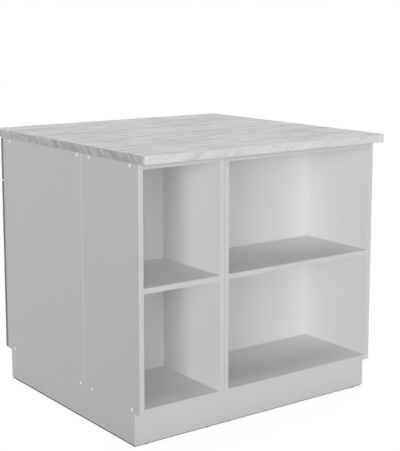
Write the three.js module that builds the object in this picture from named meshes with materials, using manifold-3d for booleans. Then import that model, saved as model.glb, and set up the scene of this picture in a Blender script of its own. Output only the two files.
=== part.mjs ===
// Kitchen island unit: four cabinets stand back to back on a plinth frame, under one worktop.
// The front row (-Y) has a narrow cabinet with a door, and a wide one with a drawer over two doors.
// The back row (+Y) has a wide and a narrow open shelf unit. Millimetres, +Z up.
import * as THREE from "three";
import { mergeVertices } from "three/addons/utils/BufferGeometryUtils.js";
import Module from "manifold-3d";

const wasm = await Module();
wasm.setup();

// Cabinets
const NARROW_WIDTH = 300;
const WIDE_WIDTH = 600;
const CARCASS_HEIGHT = 720;
const BASE_DEPTH = 506;
const OPEN_DEPTH = 307;
const BOARD = 16;
const HARDBOARD = 3;
const TOP_RAIL_WIDTH = 90;

// Plinth frame
const PLINTH_HEIGHT = 100;
const PLINTH_RECESS_FRONT = 24;
const PLINTH_RECESS_BACK = 26;
const GLIDE_HEIGHT = 4;
const GLIDE_RADIUS = 6.5;
const GLIDE_INSET = 40;

// Worktop
const WORKTOP_THICKNESS = 26;
const WORKTOP_OVERHANG = { left: 22, right: 1.5, front: 60, back: 32 };
const WORKTOP_CORNER = 15;
const WORKTOP_ARRIS = 2;

// Fronts: doors and the drawer front, with a slim milled frame
const FRONT_THICKNESS = 16;
const FRONT_ARRIS = 1;
const FRONT_SIDE_GAP = 2;
const FRONT_TOP_GAP = 3;
const FRONT_BOTTOM_GAP = 1;
const FRONT_BETWEEN_GAP = 4;
const DRAWER_FRONT_HEIGHT = 140;
const FRAME_WIDTH = 28;
const RECESS_DEPTH = 3;
const RECESS_SLOPE = 2;
const RECESS_CORNER = 4;

// Shelf of a base cabinet, loose on four pins
const BASE_SHELF_HEIGHT = 300;
const SHELF_SETBACK = 20;
const SHELF_SIDE_GAP = 0.5;
const SHELF_PIN_RADIUS = 2.5;
const SHELF_PIN_LENGTH = 8;
const SHELF_PIN_INSET = 50;

// Cup hinges: a cranked arm on the cabinet holds a pin that crosses the cup in the door
const CUP_BORE_RADIUS = 17.5;
const CUP_BORE_FLOOR = 1.5;
const CUP_SIDES = 24;
const CUP_WALL = 0.6;
const CUP_EDGE = 3;
const CUP_RIM = 1.4;
const CUP_RIM_THICKNESS = 1;
const CUP_WING_LENGTH = 58;
const CUP_WING_NEAR = 3;
const CUP_WING_FAR = 17;
const CUP_WING_CORNER = 4;
const HINGE_PIN_RADIUS = 1;
const HINGE_PIN_FROM_EDGE = 6.5;
const HINGE_PIN_ABOVE_BORE = 3.5;
const HINGE_EYE_WALL = 0.6;
const HINGE_NOSE_WIDTH = 7;
const HINGE_NOSE_SHEET = 2.3;
const HINGE_NOSE_DROP = 0.45;
const HINGE_NOSE_REACH = 19;
const HINGE_ARM_STEEL = 1.2;
const HINGE_ARM_WIDTH = 13;
const HINGE_ARM_LENGTH = 58;
const HINGE_ARM_SETBACK = 2;
const HINGE_PLATE_FROM_FRONT = 37;
const HINGE_PLATE_THICKNESS = 3.5;
const HINGE_PLATE_WIDTH = 14;
const HINGE_PLATE_SPAN = 52;
const HINGE_FROM_END = 95;

// Edge pulls: a bent plate over the top edge of a front, bowed forwards, with a lens-shaped lip
const PULL_LENGTH = 100;
const PULL_SHEET = 1.5;
const PULL_END_REACH = 8;
const PULL_MIDDLE_REACH = 18;
const PULL_LIP_HEIGHT = 12;
const PULL_LIP_END_HEIGHT = 6;
const PULL_LEG_HEIGHT = 18;
const PULL_FROM_EDGE = 15;
const PULL_ARC_SEGMENTS = 14;

// Drawer: folded steel sides that run on rollers, with a board bottom and back
const DRAWER_REAR_SPACE = 56;
const DRAWER_TOP_SPACE = 10;
const DRAWER_STEEL = 1.2;
const DRAWER_RUN_GAP = 13;
const DRAWER_ABOVE_FRONT_EDGE = 31;
const DRAWER_BOTTOM_FLANGE = 14;
const DRAWER_TOP_FOLD = 5;
const DRAWER_TOP_LIP = 6;
const DRAWER_RUNNER_FLANGE = 5.8;
const DRAWER_BACK_DROP = 6;
const RAIL_HEIGHT = 24;
const RAIL_FLANGE = 6.5;
const RAIL_BELOW_DRAWER = 6;
const RAIL_FROM_FRONT = 3;
const RUNNER_ABOVE_RAIL = 22;
const FRONT_ROLLER_RADIUS = 8;
const ROLLER_WIDTH = 4.4;
const ROLLER_SIDE_GAP = 0.7;
const ROLLER_AXLE_RADIUS = 2.5;
const ROLLER_INSET = 16;

// Clearances
const SKIN = 0.025; // each board stops this far inside its nominal faces
const SEAT_GAP = 0.05; // between a fitting and the flat face that it is screwed to
const FIT_GAP = 0.3; // round anything that sits in a bore or a channel
const SWING_GAP = 0.4; // between the cabinet and the corner of a door that swings past it

// Places that follow from the sizes
const HALF_WIDTH = (NARROW_WIDTH + WIDE_WIDTH) / 2;
const DEPTH = BASE_DEPTH + HARDBOARD + OPEN_DEPTH;
const FRONT_PLANE = -DEPTH / 2;
const BACK_PLANE = DEPTH / 2;
const SEAM_PLANE = FRONT_PLANE + BASE_DEPTH;
const WORKTOP_UNDERSIDE = PLINTH_HEIGHT + CARCASS_HEIGHT;
const CUP_CENTRE = CUP_EDGE + CUP_BORE_RADIUS;
const EYE_BORE_RADIUS = HINGE_PIN_RADIUS + FIT_GAP;
const EYE_RADIUS = EYE_BORE_RADIUS + HINGE_EYE_WALL;
const CUP_BORE_DEPTH = FRONT_THICKNESS - RECESS_DEPTH - CUP_BORE_FLOOR;
const HINGE_PIN_DEPTH = CUP_BORE_DEPTH - HINGE_PIN_ABOVE_BORE;
const PIN_TO_DOOR_CORNER = Math.hypot(HINGE_PIN_FROM_EDGE, HINGE_PIN_DEPTH);
const DOOR_GAP = PIN_TO_DOOR_CORNER - HINGE_PIN_DEPTH + SWING_GAP;
const TALL_FRONT_HEIGHT = CARCASS_HEIGHT - FRONT_TOP_GAP - FRONT_BOTTOM_GAP;
const LOW_FRONT_HEIGHT = TALL_FRONT_HEIGHT - DRAWER_FRONT_HEIGHT - FRONT_BETWEEN_GAP;
const DRAWER_FRONT_BOTTOM = CARCASS_HEIGHT - FRONT_TOP_GAP - DRAWER_FRONT_HEIGHT;
const DRAWER_BOTTOM_HEIGHT = DRAWER_FRONT_BOTTOM + DRAWER_ABOVE_FRONT_EDGE;
const DRAWER_TOP = CARCASS_HEIGHT - BOARD - DRAWER_TOP_SPACE;
const DRAWER_LENGTH = BASE_DEPTH - DRAWER_REAR_SPACE;
const RAIL_BOTTOM = DRAWER_BOTTOM_HEIGHT - RAIL_BELOW_DRAWER;
const RUNNER_HEIGHT = RAIL_BOTTOM + RUNNER_ABOVE_RAIL;

function finish(color, roughness, metalness = 0) {
  return new THREE.MeshStandardMaterial({ color, roughness, metalness });
}

const WHITE_BOARD = finish("#e9e9e8", 0.55);
const MARBLE_TOP = finish("#cfcfcd", 0.35);
const GREIGE_FRONT = finish("#aca6a0", 0.5);
const HARDBOARD_BACK = finish("#e2e0dc", 0.7);
const BLACK_METAL = finish("#161616", 0.4, 0.6);
const NICKEL = finish("#b4b3b0", 0.3, 0.9);
const GREY_STEEL = finish("#c9cacb", 0.45, 0.4);

// Solid operations

function solidOf(geometry) {
  const bare = geometry.index ? geometry.toNonIndexed() : geometry.clone();
  bare.deleteAttribute("normal");
  bare.deleteAttribute("uv");
  const merged = mergeVertices(bare, 1e-4);
  return new wasm.Manifold(
    new wasm.Mesh({
      numProp: 3,
      vertProperties: merged.attributes.position.array,
      triVerts: new Uint32Array(merged.index.array),
    }),
  );
}

function geometryOf(solid) {
  const mesh = solid.getMesh();
  const geometry = new THREE.BufferGeometry();
  geometry.setAttribute("position", new THREE.BufferAttribute(mesh.vertProperties, 3));
  geometry.setIndex(new THREE.BufferAttribute(mesh.triVerts, 1));
  geometry.computeVertexNormals();
  return geometry;
}

function join(first, ...others) {
  const start = solidOf(first);
  return geometryOf(others.reduce((solid, other) => solid.add(solidOf(other)), start));
}

function cut(body, ...tools) {
  const start = solidOf(body);
  return geometryOf(tools.reduce((solid, tool) => solid.subtract(solidOf(tool)), start));
}

function common(first, second) {
  return geometryOf(solidOf(first).intersect(solidOf(second)));
}

// Basic shapes

function boxBetween(low, high) {
  const size = high.map((value, i) => value - low[i]);
  const geometry = new THREE.BoxGeometry(...size);
  return geometry.translate(...low.map((value, i) => value + size[i] / 2));
}

function cylinderAlong(axis, radius, length, sides = 24) {
  const geometry = new THREE.CylinderGeometry(radius, radius, length, sides);
  if (axis === "x") geometry.rotateZ(Math.PI / 2);
  if (axis === "z") geometry.rotateX(Math.PI / 2);
  return geometry;
}

function roundedRectangle(x0, y0, x1, y1, radius) {
  const shape = new THREE.Shape();
  shape.moveTo(x0 + radius, y0);
  shape.lineTo(x1 - radius, y0);
  shape.absarc(x1 - radius, y0 + radius, radius, -Math.PI / 2, 0);
  shape.lineTo(x1, y1 - radius);
  shape.absarc(x1 - radius, y1 - radius, radius, 0, Math.PI / 2);
  shape.lineTo(x0 + radius, y1);
  shape.absarc(x0 + radius, y1 - radius, radius, Math.PI / 2, Math.PI);
  shape.lineTo(x0, y0 + radius);
  shape.absarc(x0 + radius, y0 + radius, radius, Math.PI, 1.5 * Math.PI);
  return shape;
}

function rectangle(x0, y0, x1, y1) {
  const corners = [[x0, y0], [x1, y0], [x1, y1], [x0, y1]];
  return new THREE.Shape(corners.map(([x, y]) => new THREE.Vector2(x, y)));
}

// A plate of the given outline, with its upper and lower edges rounded by the arris.
function roundedPlate(shape, thickness, arris, segments = 2) {
  return new THREE.ExtrudeGeometry(shape, {
    depth: thickness - 2 * arris,
    bevelThickness: arris,
    bevelSize: arris,
    bevelOffset: -arris,
    bevelSegments: segments,
    curveSegments: 6,
  }).translate(0, 0, arris);
}

function extruded(shape, depth, curveSegments = 4) {
  return new THREE.ExtrudeGeometry(shape, { depth, bevelEnabled: false, curveSegments });
}

// Turns a plate drawn in X and Y, and grown along Z, so that it stands up and faces -Y.
function standUp(geometry) {
  return geometry.rotateX(Math.PI / 2);
}

// The closed outline of a sheet of even thickness, folded along the given corner points.
function foldedOutline(corners, thickness) {
  const points = corners.map(([x, y]) => new THREE.Vector2(x, y));
  const normals = points.slice(1).map((point, i) => {
    const along = point.clone().sub(points[i]).normalize();
    return new THREE.Vector2(-along.y, along.x);
  });
  const mitres = points.map((point, i) => {
    const before = normals[Math.max(i - 1, 0)];
    const after = normals[Math.min(i, normals.length - 1)];
    const sum = before.clone().add(after);
    return sum.multiplyScalar(thickness / (1 + before.dot(after)) / 2);
  });
  const leftSide = points.map((point, i) => point.clone().add(mitres[i]));
  const rightSide = points.map((point, i) => point.clone().sub(mitres[i]));
  return new THREE.Shape([...rightSide, ...leftSide.reverse()]);
}

// A folded sheet that runs along +Y from 0, drawn in X and Z.
function foldedSheet(corners, thickness, length) {
  const sheet = extruded(foldedOutline(corners, thickness), length);
  return standUp(sheet).translate(0, length, 0);
}

// Scene helpers

function piece(name, geometry, material, position = [0, 0, 0]) {
  const mesh = new THREE.Mesh(geometry, material);
  mesh.name = name;
  mesh.position.set(...position);
  return mesh;
}

function groupOf(position, ...children) {
  const group = new THREE.Group();
  group.position.set(...position);
  group.add(...children);
  return group;
}

// The same group seen in a mirror: its X runs the other way from its place.
function mirrored(group) {
  group.scale.x = -1;
  return group;
}

// A flat board between two nominal corners, drawn SKIN inside them.
function board(name, low, high, material = WHITE_BOARD) {
  const size = high.map((value, i) => value - low[i] - 2 * SKIN);
  const centre = high.map((value, i) => (value + low[i]) / 2);
  return piece(name, new THREE.BoxGeometry(...size), material, centre);
}

// Plinth frame

// A plinth board between two nominal corners, on two plastic glides.
function plinthBoard(name, low, high) {
  const body = boxBetween(
    low.map((value) => value + SKIN),
    high.map((value) => value - SKIN),
  );
  const alongX = high[0] - low[0] > high[1] - low[1];
  const long = alongX ? 0 : 1;
  const glides = [low[long] + GLIDE_INSET, high[long] - GLIDE_INSET].map((place) => {
    const centre = [(low[0] + high[0]) / 2, (low[1] + high[1]) / 2];
    centre[long] = place;
    return cylinderAlong("z", GLIDE_RADIUS, 2 * GLIDE_HEIGHT).translate(...centre, GLIDE_HEIGHT);
  });
  return piece(name, join(body, ...glides), WHITE_BOARD);
}

function plinthFrame() {
  const low = GLIDE_HEIGHT;
  const top = PLINTH_HEIGHT;
  const front = FRONT_PLANE + PLINTH_RECESS_FRONT;
  const back = BACK_PLANE - PLINTH_RECESS_BACK;
  const split = HALF_WIDTH - NARROW_WIDTH;
  const inside = HALF_WIDTH - BOARD;
  const middle = SEAM_PLANE + (HARDBOARD - BOARD) / 2;
  return groupOf(
    [0, 0, 0],
    plinthBoard("plinth_front", [-HALF_WIDTH, front, low], [HALF_WIDTH, front + BOARD, top]),
    plinthBoard("plinth_back_wide", [-HALF_WIDTH, back - BOARD, low], [split, back, top]),
    plinthBoard("plinth_back_narrow", [split, back - BOARD, low], [HALF_WIDTH, back, top]),
    plinthBoard("plinth_middle", [-inside, middle, low], [inside, middle + BOARD, top]),
    plinthBoard("plinth_side_left", [-HALF_WIDTH, front + BOARD, low], [-inside, back - BOARD, top]),
    plinthBoard("plinth_side_right", [inside, front + BOARD, low], [HALF_WIDTH, back - BOARD, top]),
  );
}

// Cabinets: each group has X from its left side, Y from its -Y face and Z from its own base

// A side panel with two shelf pins on its inner face.
function pinnedSide(name, x, face) {
  const panel = boxBetween(
    [x + SKIN, SKIN, SKIN],
    [x + BOARD - SKIN, BASE_DEPTH - SKIN, CARCASS_HEIGHT - SKIN],
  );
  const height = BASE_SHELF_HEIGHT - FIT_GAP - SHELF_PIN_RADIUS;
  const pins = [SHELF_SETBACK + SHELF_PIN_INSET, BASE_DEPTH - SHELF_PIN_INSET].map((y) =>
    cylinderAlong("x", SHELF_PIN_RADIUS, 2 * SHELF_PIN_LENGTH).translate(face, y, height),
  );
  return piece(name, join(panel, ...pins), WHITE_BOARD);
}

// A closed cabinet of the front row, without its fronts.
function baseCabinet(name, width) {
  const depth = BASE_DEPTH;
  const height = CARCASS_HEIGHT;
  const right = width - BOARD;
  const shelfLeft = BOARD + SHELF_SIDE_GAP;
  const shelfRight = right - SHELF_SIDE_GAP;
  const shelf = BASE_SHELF_HEIGHT;
  const rail = TOP_RAIL_WIDTH;
  return [
    pinnedSide(name + "_side_left", 0, BOARD - SKIN),
    pinnedSide(name + "_side_right", right, right + SKIN),
    board(name + "_bottom", [BOARD, 0, 0], [right, depth, BOARD]),
    board(name + "_rail_front", [BOARD, 0, height - BOARD], [right, rail, height]),
    board(name + "_rail_rear", [BOARD, depth - rail, height - BOARD], [right, depth, height]),
    board(name + "_shelf", [shelfLeft, SHELF_SETBACK, shelf], [shelfRight, depth, shelf + BOARD]),
    board(name + "_back", [0, depth, 0], [width, depth + HARDBOARD, height], HARDBOARD_BACK),
  ];
}

// An open shelf unit of the back row, which faces +Y.
function openUnit(name, width) {
  const depth = OPEN_DEPTH;
  const height = CARCASS_HEIGHT;
  const right = width - BOARD;
  const shelf = (height - BOARD) / 2;
  return [
    board(name + "_side_left", [0, 0, 0], [BOARD, depth, height]),
    board(name + "_side_right", [right, 0, 0], [width, depth, height]),
    board(name + "_bottom", [BOARD, 0, 0], [right, depth, BOARD]),
    board(name + "_top", [BOARD, 0, height - BOARD], [right, depth, height]),
    board(name + "_shelf", [BOARD, BOARD, shelf], [right, depth, shelf + BOARD]),
    board(name + "_back", [BOARD, 0, BOARD], [right, BOARD, height - BOARD]),
  ];
}

function worktop() {
  const outline = roundedRectangle(
    -HALF_WIDTH - WORKTOP_OVERHANG.left,
    FRONT_PLANE - WORKTOP_OVERHANG.front,
    HALF_WIDTH + WORKTOP_OVERHANG.right,
    BACK_PLANE + WORKTOP_OVERHANG.back,
    WORKTOP_CORNER,
  );
  const slab = roundedPlate(outline, WORKTOP_THICKNESS, WORKTOP_ARRIS, 3);
  return piece("worktop", slab, MARBLE_TOP, [0, 0, WORKTOP_UNDERSIDE + SKIN]);
}

// Fronts: each group has X from its hinged edge, Y from its rear face and Z from its lower edge

// A front with a slim frame left standing round a milled recess, bored for its hinge cups.
function milledFront(width, height, hingeHeights = []) {
  const slab = roundedPlate(rectangle(0, 0, width, height), FRONT_THICKNESS, FRONT_ARRIS);
  const opening = roundedRectangle(
    FRAME_WIDTH,
    FRAME_WIDTH,
    width - FRAME_WIDTH,
    height - FRAME_WIDTH,
    RECESS_CORNER,
  );
  const recess = new THREE.ExtrudeGeometry(opening, {
    depth: RECESS_DEPTH,
    bevelThickness: RECESS_DEPTH,
    bevelSize: RECESS_SLOPE,
    bevelOffset: -RECESS_SLOPE,
    bevelSegments: 2,
    curveSegments: 4,
  }).translate(0, 0, FRONT_THICKNESS);
  const bores = hingeHeights.map((z) =>
    cylinderAlong("y", CUP_BORE_RADIUS, 2 * CUP_BORE_DEPTH, CUP_SIDES).translate(CUP_CENTRE, 0, z),
  );
  return cut(standUp(slab), standUp(recess), ...bores);
}

// The plan of an edge pull, whose front edge is an arc; inset moves that arc back.
function pullPlan(inset) {
  const half = PULL_LENGTH / 2;
  const bow = PULL_MIDDLE_REACH - PULL_END_REACH;
  const radius = (half * half + bow * bow) / (2 * bow);
  const centreY = radius - FRONT_THICKNESS - PULL_MIDDLE_REACH;
  const halfAngle = Math.asin(half / radius);
  const plan = new THREE.Shape();
  plan.moveTo(half, SEAT_GAP + PULL_SHEET);
  plan.lineTo(-half, SEAT_GAP + PULL_SHEET);
  plan.absarc(0, centreY + inset, radius, -Math.PI / 2 - halfAngle, -Math.PI / 2 + halfAngle);
  return plan;
}

// The face of the lip seen from the front: straight above, an arc below.
function pullLens() {
  const half = PULL_LENGTH / 2;
  const sag = PULL_LIP_HEIGHT - PULL_LIP_END_HEIGHT;
  const radius = (half * half + sag * sag) / (2 * sag);
  const halfAngle = Math.asin(half / radius);
  const lens = new THREE.Shape();
  lens.moveTo(half, SEAT_GAP + PULL_SHEET);
  lens.lineTo(-half, SEAT_GAP + PULL_SHEET);
  lens.absarc(
    0,
    radius - PULL_LIP_HEIGHT,
    radius,
    -Math.PI / 2 - halfAngle,
    -Math.PI / 2 + halfAngle,
  );
  return lens;
}

// An edge pull: X from its middle, Y from the rear face and Z from the top edge of its front.
function edgePull() {
  const half = PULL_LENGTH / 2;
  const reach = FRONT_THICKNESS + PULL_MIDDLE_REACH;
  const top = extruded(pullPlan(0), PULL_SHEET, PULL_ARC_SEGMENTS).translate(0, 0, SEAT_GAP);
  const leg = boxBetween(
    [-half, SEAT_GAP, -PULL_LEG_HEIGHT],
    [half, SEAT_GAP + PULL_SHEET, SEAT_GAP + PULL_SHEET],
  );
  const drop = 2 * PULL_LIP_HEIGHT;
  const skirt = extruded(pullPlan(0), drop, PULL_ARC_SEGMENTS).translate(0, 0, -PULL_LIP_HEIGHT);
  const hollow = extruded(pullPlan(PULL_SHEET), 2 * drop, PULL_ARC_SEGMENTS).translate(0, 0, -drop);
  const lens = standUp(extruded(pullLens(), 2 * reach, PULL_ARC_SEGMENTS));
  const lip = common(cut(skirt, hollow), lens);
  return join(top, leg, lip);
}

// The cup of a hinge with the pin across it: X from the door's edge, Z from the hinge's middle.
function hingeCup() {
  const outer = CUP_BORE_RADIUS - FIT_GAP;
  const inner = outer - CUP_WALL;
  const floor = FIT_GAP - CUP_BORE_DEPTH;
  const rim = SEAT_GAP + CUP_RIM_THICKNESS;
  const profile = [
    [0, floor],
    [outer, floor],
    [outer, SEAT_GAP],
    [outer + CUP_RIM, SEAT_GAP],
    [outer + CUP_RIM, rim],
    [inner, rim],
    [inner, floor + CUP_WALL],
    [0, floor + CUP_WALL],
  ].map(([radius, y]) => new THREE.Vector2(radius, y));
  const bowl = new THREE.LatheGeometry(profile, CUP_SIDES).translate(CUP_CENTRE, 0, 0);
  const plate = roundedRectangle(
    CUP_CENTRE - CUP_WING_NEAR,
    -CUP_WING_LENGTH / 2,
    CUP_CENTRE + CUP_WING_FAR,
    CUP_WING_LENGTH / 2,
    CUP_WING_CORNER,
  );
  const wings = standUp(extruded(plate, CUP_RIM_THICKNESS)).translate(0, rim, 0);
  const mouth = cylinderAlong("y", inner, 4 * rim, CUP_SIDES).translate(CUP_CENTRE, 0, 0);
  const pinOffset = CUP_CENTRE - HINGE_PIN_FROM_EDGE + HINGE_PIN_RADIUS;
  const halfChord = Math.sqrt((outer - SEAT_GAP) ** 2 - pinOffset ** 2);
  const pin = cylinderAlong("z", HINGE_PIN_RADIUS, 2 * halfChord);
  pin.translate(HINGE_PIN_FROM_EDGE, -HINGE_PIN_DEPTH, 0);
  return join(bowl, cut(wings, mouth), pin);
}

// The arm of a hinge with its mounting plate: X and Y from the pin, Z from the hinge's middle.
function hingeArm() {
  const panelFace = BOARD - FRONT_SIDE_GAP - HINGE_PIN_FROM_EDGE;
  const cabinetFront = DOOR_GAP + HINGE_PIN_DEPTH;
  const plateTop = panelFace + HINGE_PLATE_THICKNESS;
  const plateY = cabinetFront + HINGE_PLATE_FROM_FRONT;
  const half = HINGE_NOSE_WIDTH / 2;
  const eye = cylinderAlong("z", EYE_RADIUS, HINGE_NOSE_WIDTH);
  const bore = cylinderAlong("z", EYE_BORE_RADIUS, 2 * HINGE_NOSE_WIDTH);
  const middle = HINGE_NOSE_REACH - HINGE_NOSE_SHEET / 2;
  const neck = foldedOutline(
    [
      [0, -HINGE_NOSE_DROP],
      [middle, -HINGE_NOSE_DROP],
      [middle, cabinetFront + HINGE_ARM_SETBACK + HINGE_NOSE_SHEET],
    ],
    HINGE_NOSE_SHEET,
  );
  const nose = extruded(neck, HINGE_NOSE_WIDTH).translate(0, 0, -half);
  const web = HINGE_NOSE_REACH - HINGE_ARM_STEEL / 2;
  const channel = foldedSheet(
    [
      [plateTop - HINGE_ARM_STEEL, -HINGE_ARM_WIDTH / 2],
      [web, -HINGE_ARM_WIDTH / 2],
      [web, HINGE_ARM_WIDTH / 2],
      [plateTop - HINGE_ARM_STEEL, HINGE_ARM_WIDTH / 2],
    ],
    HINGE_ARM_STEEL,
    HINGE_ARM_LENGTH,
  ).translate(0, cabinetFront + HINGE_ARM_SETBACK, 0);
  const block = boxBetween(
    [panelFace + SEAT_GAP, plateY - HINGE_PLATE_WIDTH, -HINGE_ARM_WIDTH / 2],
    [plateTop, plateY + HINGE_PLATE_WIDTH, HINGE_ARM_WIDTH / 2],
  );
  const wing = roundedRectangle(
    -HINGE_PLATE_SPAN / 2,
    plateY - HINGE_PLATE_WIDTH / 2,
    HINGE_PLATE_SPAN / 2,
    plateY + HINGE_PLATE_WIDTH / 2,
    HINGE_PLATE_WIDTH / 2 - SEAT_GAP,
  );
  const wings = extruded(wing, HINGE_PLATE_THICKNESS / 2).rotateY(Math.PI / 2);
  wings.translate(panelFace + SEAT_GAP, 0, 0);
  return join(cut(join(eye, nose), bore), channel, block, wings);
}

function hingeHeights(height) {
  return [HINGE_FROM_END, height - HINGE_FROM_END];
}

// A door with its pull and its two hinge cups.
function hingedDoor(name, width, height, pullCentre) {
  const cups = hingeHeights(height).map((z, i) =>
    piece(name + "_hinge_cup_" + (i ? "upper" : "lower"), hingeCup(), NICKEL, [0, 0, z]),
  );
  return [
    piece(name, milledFront(width, height, hingeHeights(height)), GREIGE_FRONT),
    piece(name + "_handle", edgePull(), BLACK_METAL, [pullCentre, 0, height]),
    ...cups,
  ];
}

// The arms that hold a door, on the cabinet's side panel.
function hingeArms(name, height) {
  return hingeHeights(height).map((z, i) =>
    piece(name + "_hinge_arm_" + (i ? "upper" : "lower"), hingeArm(), NICKEL, [
      FRONT_SIDE_GAP + HINGE_PIN_FROM_EDGE,
      -DOOR_GAP - HINGE_PIN_DEPTH,
      FRONT_BOTTOM_GAP + z,
    ]),
  );
}

// Drawer, drawn in the wide cabinet's own axes

// The left rail: a channel on the side panel, with a roller at its front end.
function drawerRail() {
  const web = BOARD + SEAT_GAP + DRAWER_STEEL / 2;
  const tip = web + RAIL_FLANGE;
  const low = RAIL_BOTTOM + DRAWER_STEEL / 2;
  const high = RAIL_BOTTOM + RAIL_HEIGHT - DRAWER_STEEL / 2;
  const channel = foldedSheet(
    [
      [tip, low],
      [web, low],
      [web, high],
      [tip, high],
    ],
    DRAWER_STEEL,
    DRAWER_LENGTH,
  ).translate(0, RAIL_FROM_FRONT, 0);
  const rollerHeight = RUNNER_HEIGHT - DRAWER_STEEL / 2 - FIT_GAP - FRONT_ROLLER_RADIUS;
  const y = RAIL_FROM_FRONT + ROLLER_INSET;
  const middle = tip + ROLLER_SIDE_GAP + ROLLER_WIDTH / 2;
  const roller = cylinderAlong("x", FRONT_ROLLER_RADIUS, ROLLER_WIDTH);
  const axle = cylinderAlong("x", ROLLER_AXLE_RADIUS, middle - web);
  return join(
    channel,
    roller.translate(middle, y, rollerHeight),
    axle.translate((middle + web) / 2, y, rollerHeight),
  );
}

// The left side: a folded wall whose outer flange rides on the rail's roller.
function drawerSide() {
  const wall = BOARD + DRAWER_RUN_GAP + DRAWER_STEEL / 2;
  const low = DRAWER_BOTTOM_HEIGHT + DRAWER_STEEL / 2;
  const high = DRAWER_TOP - DRAWER_STEEL / 2;
  const walls = foldedSheet(
    [
      [wall + DRAWER_BOTTOM_FLANGE, low],
      [wall, low],
      [wall, high],
      [wall - DRAWER_TOP_FOLD, high],
      [wall - DRAWER_TOP_FOLD, high - DRAWER_TOP_LIP],
    ],
    DRAWER_STEEL,
    DRAWER_LENGTH,
  );
  const runner = foldedSheet(
    [
      [wall - DRAWER_RUNNER_FLANGE, RUNNER_HEIGHT],
      [wall, RUNNER_HEIGHT],
    ],
    DRAWER_STEEL,
    DRAWER_LENGTH,
  );
  const radius = RAIL_HEIGHT / 2 - DRAWER_STEEL - FIT_GAP;
  const z = RAIL_BOTTOM + RAIL_HEIGHT / 2;
  const y = DRAWER_LENGTH - ROLLER_INSET;
  const middle = BOARD + SEAT_GAP + DRAWER_STEEL + ROLLER_SIDE_GAP + ROLLER_WIDTH / 2;
  const roller = cylinderAlong("x", radius, ROLLER_WIDTH);
  const axle = cylinderAlong("x", ROLLER_AXLE_RADIUS, wall - middle);
  return join(
    walls,
    runner,
    roller.translate(middle, y, z),
    axle.translate((middle + wall) / 2, y, z),
  );
}

function drawer() {
  const left = BOARD + DRAWER_RUN_GAP + DRAWER_STEEL + FIT_GAP;
  const right = WIDE_WIDTH - left;
  const floor = DRAWER_BOTTOM_HEIGHT + DRAWER_STEEL;
  const floorTop = floor + BOARD;
  const front = -DOOR_GAP;
  const end = front + DRAWER_LENGTH;
  const width = WIDE_WIDTH - 2 * FRONT_SIDE_GAP;
  const sidePlace = [0, front + SEAT_GAP, 0];
  const panel = milledFront(width, DRAWER_FRONT_HEIGHT);
  const pull = [WIDE_WIDTH / 2, front, DRAWER_FRONT_BOTTOM + DRAWER_FRONT_HEIGHT];
  return groupOf(
    [0, 0, 0],
    piece("drawer_front", panel, GREIGE_FRONT, [FRONT_SIDE_GAP, front, DRAWER_FRONT_BOTTOM]),
    piece("drawer_handle", edgePull(), BLACK_METAL, pull),
    piece("drawer_side_left", drawerSide(), GREY_STEEL, sidePlace),
    mirrored(groupOf([WIDE_WIDTH, 0, 0], piece("drawer_side_right", drawerSide(), GREY_STEEL, sidePlace))),
    board("drawer_bottom", [left, front, floor], [right, end, floorTop]),
    board("drawer_back", [left, end - BOARD, floorTop], [right, end, DRAWER_TOP - DRAWER_BACK_DROP]),
  );
}

// Assembly

function narrowBase() {
  const doorWidth = NARROW_WIDTH - 2 * FRONT_SIDE_GAP;
  const door = hingedDoor("narrow_door", doorWidth, TALL_FRONT_HEIGHT, doorWidth / 2);
  return groupOf(
    [-HALF_WIDTH, FRONT_PLANE, PLINTH_HEIGHT],
    ...baseCabinet("narrow_base", NARROW_WIDTH),
    groupOf([FRONT_SIDE_GAP, -DOOR_GAP, FRONT_BOTTOM_GAP], ...door),
    ...hingeArms("narrow_door", TALL_FRONT_HEIGHT),
  );
}

function wideBase() {
  const doorWidth = WIDE_WIDTH / 2 - 2 * FRONT_SIDE_GAP;
  const pull = doorWidth - PULL_FROM_EDGE - PULL_LENGTH / 2;
  const place = [FRONT_SIDE_GAP, -DOOR_GAP, FRONT_BOTTOM_GAP];
  const half = (name) =>
    groupOf(
      [0, 0, 0],
      groupOf(place, ...hingedDoor(name, doorWidth, LOW_FRONT_HEIGHT, pull)),
      ...hingeArms(name, LOW_FRONT_HEIGHT),
    );
  const rightHalf = mirrored(half("right_door"));
  rightHalf.position.x = WIDE_WIDTH;
  return groupOf(
    [-HALF_WIDTH + NARROW_WIDTH, FRONT_PLANE, PLINTH_HEIGHT],
    ...baseCabinet("wide_base", WIDE_WIDTH),
    half("left_door"),
    rightHalf,
    piece("drawer_rail_left", drawerRail(), GREY_STEEL),
    mirrored(groupOf([WIDE_WIDTH, 0, 0], piece("drawer_rail_right", drawerRail(), GREY_STEEL))),
    drawer(),
  );
}

function openRow() {
  const place = [-HALF_WIDTH, SEAM_PLANE + HARDBOARD, PLINTH_HEIGHT];
  const narrow = groupOf([WIDE_WIDTH, 0, 0], ...openUnit("narrow_open", NARROW_WIDTH));
  return groupOf(place, ...openUnit("wide_open", WIDE_WIDTH), narrow);
}

// The origin is under the middle of the worktop, on the floor.
const island = groupOf(
  [
    (WORKTOP_OVERHANG.left - WORKTOP_OVERHANG.right) / 2,
    (WORKTOP_OVERHANG.front - WORKTOP_OVERHANG.back) / 2,
    0,
  ],
  plinthFrame(),
  narrowBase(),
  wideBase(),
  openRow(),
  worktop(),
);

export default island;
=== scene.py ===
"""Visual model of the kitchen island unit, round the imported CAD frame. Metres, +Z up.

The open shelves face +Y, the doors and the drawer face -Y, and +X is the plain side.
"""
import math

import bmesh
import bpy
from mathutils import Matrix, Vector


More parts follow.
